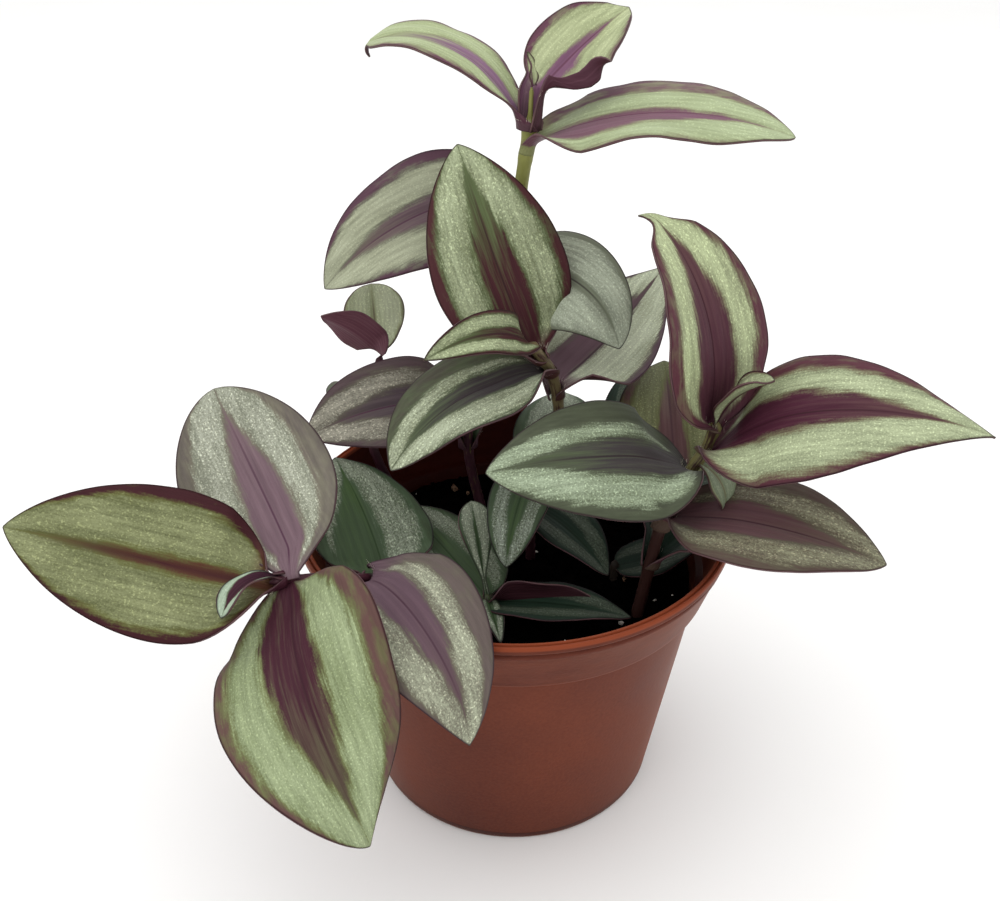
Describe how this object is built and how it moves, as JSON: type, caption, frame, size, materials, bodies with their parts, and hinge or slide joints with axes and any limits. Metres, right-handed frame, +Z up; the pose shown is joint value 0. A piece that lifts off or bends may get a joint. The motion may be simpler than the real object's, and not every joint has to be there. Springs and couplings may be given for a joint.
{
  "type": "potted silver striped inch plant",
  "caption": "Leafy tradescantia with silver striped green and purple leaves on upright and leaning stems, growing in a plain round terracotta-coloured nursery pot of soil.",
  "frame": {"origin": "centre of the pot's base, on the surface that the pot stands on", "axes": "+Z up, +X to the viewer's right and +Y away from the viewer of the picture"},
  "size_m": [0.1889, 0.1519, 0.1791],
  "materials": {
    "pot_plastic": "matte terracotta-coloured polypropylene",
    "potting_soil": "dark moist peat with white perlite specks",
    "stem": "living stem, waxy, green mottled with purple brown",
    "leaf": "living leaf, satin, silver-green stripes on green and purple, purple beneath"
  },
  "bodies": {
    "root": {"pot": "pot_plastic", "soil": "potting_soil", "stem_a": "stem", "stem_b": "stem", "stem_c": "stem", "stem_d": "stem", "stem_e": "stem", "stem_g": "stem", "stem_h": "stem", "stem_j": "stem", "stem_k": "stem", "leaf_a1": "leaf", "leaf_a2": "leaf", "leaf_a3": "leaf", "leaf_a4": "leaf", "leaf_a5": "leaf", "leaf_a6": "leaf", "leaf_a7": "leaf", "leaf_a8": "leaf", "leaf_b1": "leaf", "leaf_b3": "leaf", "leaf_b5": "leaf", "leaf_b6": "leaf", "leaf_c1": "leaf", "leaf_c2": "leaf", "leaf_c3": "leaf", "leaf_c4": "leaf", "leaf_c7": "leaf", "leaf_c8": "leaf", "leaf_d1": "leaf", "leaf_d2": "leaf", "leaf_d3": "leaf", "leaf_d4": "leaf", "leaf_d5": "leaf", "leaf_e3": "leaf"}
  },
  "joints": []
}
